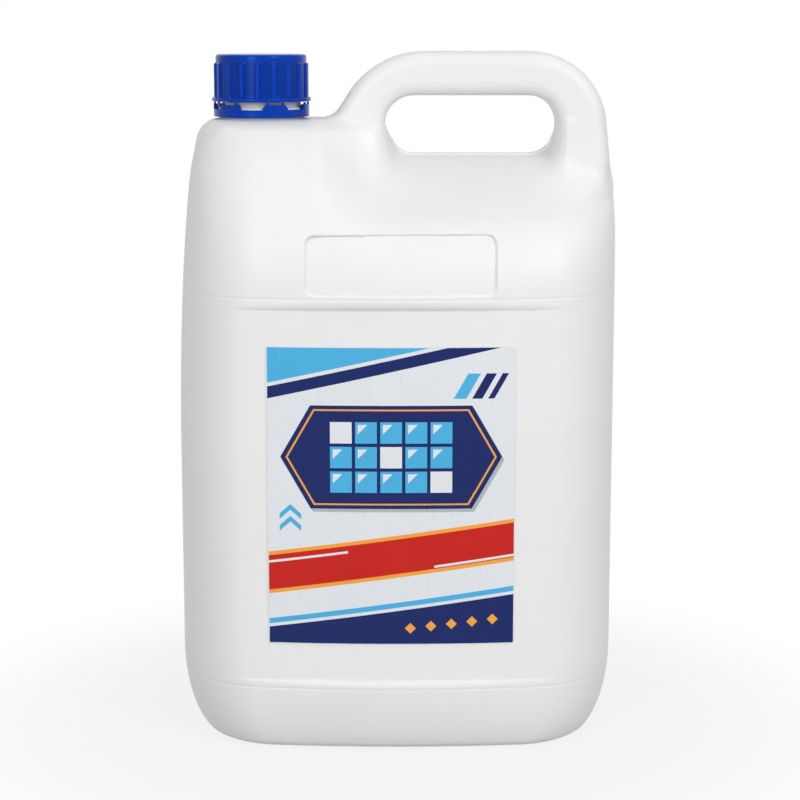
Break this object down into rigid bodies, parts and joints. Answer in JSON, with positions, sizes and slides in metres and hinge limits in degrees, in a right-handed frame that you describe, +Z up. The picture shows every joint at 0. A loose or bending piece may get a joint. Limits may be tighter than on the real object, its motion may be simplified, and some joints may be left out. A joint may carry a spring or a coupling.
{
  "type": "bleach bottle",
  "caption": "Tall white jerrican-style plastic bottle with rounded corners, a moulded loop handle, an off-centre ribbed screw cap over a tamper band, and front and back labels.",
  "frame": {"origin": "on the floor, in the middle of the bottle's base", "axes": "+X from the neck to the handle's outer leg, +Y to the back, +Z up"},
  "size_m": [0.1874, 0.126, 0.294],
  "materials": {
    "bottle_plastic": "smooth satin, blow moulded",
    "cap_plastic": "glossy, injection moulded",
    "liner_foam": "soft foam disc",
    "label_film": "printed glossy film"
  },
  "bodies": {
    "bottle": {"bottle": "bottle_plastic", "tamper_band": "cap_plastic", "front_label": "label_film", "back_label": "label_film"},
    "liner": {"cap_liner": "liner_foam"},
    "cap": {"cap": "cap_plastic"}
  },
  "joints": [
    {"name": "cap_lift", "type": "slide", "parent": "bottle", "child": "liner", "axis": [0, 0, 1], "range_m": [0, 0.0064]},
    {"name": "cap_turn", "type": "hinge", "parent": "liner", "child": "cap", "pos_m": [-0.0581, 0, 0.28], "axis": [0, 0, 1], "range_deg": [0, 540]}
  ],
  "couplings": [
    {"joint": "cap_lift", "follows": "cap_turn", "m_per_rad": 0.00066845}
  ]
}
